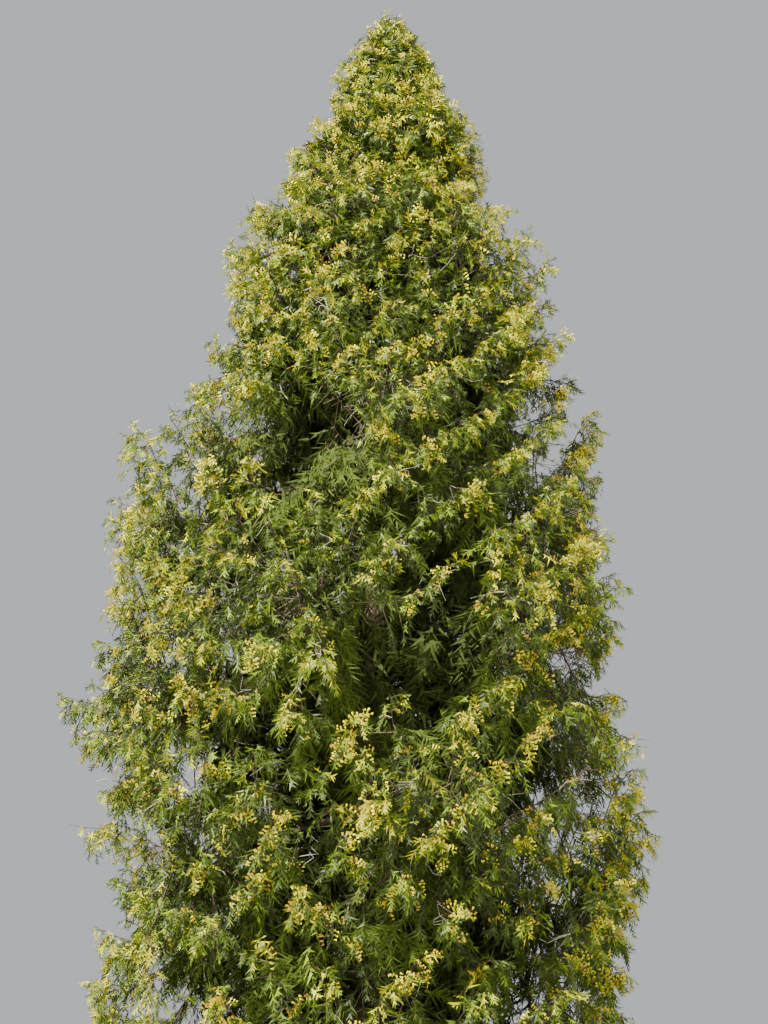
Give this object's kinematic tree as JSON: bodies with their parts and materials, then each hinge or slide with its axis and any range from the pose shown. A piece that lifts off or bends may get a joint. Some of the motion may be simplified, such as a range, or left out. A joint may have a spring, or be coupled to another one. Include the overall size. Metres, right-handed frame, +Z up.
{
  "type": "western red cedar tree",
  "caption": "Whole western red cedar: a straight tapering trunk with root flare and a dense narrow cone of drooping boughs with flat sprays and small golden cones.",
  "frame": {"origin": "centre of the flat cut under the trunk, at ground level", "axes": "+Z up along the trunk, +X to the right and +Y away from the viewer in the front view"},
  "size_m": [4.7622, 4.8079, 16],
  "materials": {
    "bark": "grey-brown fibrous bark in long strips, matt",
    "foliage": "flat sprays of scale leaves, mid to yellow green, slight sheen",
    "cones": "small golden tan cones in clusters, matt"
  },
  "bodies": {
    "root": {"trunk": "bark", "bough-foot-1": "bark", "bough-foot-2": "bark", "bough-foot-3": "bark", "bough-foot-4": "bark", "bough-foot-5": "bark", "bough-low-1": "bark", "bough-low-2": "bark", "bough-low-3": "bark", "bough-low-4": "bark", "bough-low-5": "bark", "bough-mid-1": "bark", "bough-mid-2": "bark", "bough-mid-3": "bark", "bough-mid-4": "bark", "bough-mid-5": "bark", "bough-waist-1": "bark", "bough-waist-2": "bark", "bough-waist-3": "bark", "bough-waist-4": "bark", "bough-waist-5": "bark", "bough-shoulder-1": "bark", "bough-shoulder-2": "bark", "bough-shoulder-3": "bark", "bough-shoulder-4": "bark", "mass-foot-1": "foliage", "mass-foot-2": "foliage", "mass-foot-3": "foliage", "mass-foot-4": "foliage", "mass-foot-5": "foliage", "mass-low-1": "foliage", "mass-low-2": "foliage", "mass-low-3": "foliage", "mass-low-4": "foliage", "mass-low-5": "foliage", "mass-mid-1": "foliage", "mass-mid-2": "foliage", "mass-mid-3": "foliage", "mass-mid-4": "foliage", "mass-mid-5": "foliage", "mass-waist-1": "foliage", "mass-waist-2": "foliage", "mass-waist-3": "foliage", "mass-waist-4": "foliage", "mass-waist-5": "foliage", "mass-shoulder-1": "foliage", "mass-shoulder-2": "foliage", "mass-shoulder-3": "foliage", "mass-shoulder-4": "foliage", "mass-neck-1": "foliage", "mass-neck-2": "foliage", "mass-neck-3": "foliage", "mass-neck-4": "foliage", "mass-upper-1": "foliage", "mass-upper-2": "foliage", "mass-upper-3": "foliage", "mass-top-1": "foliage", "mass-top-2": "foliage", "mass-top-3": "foliage", "mass-leader": "foliage"}
  },
  "joints": []
}
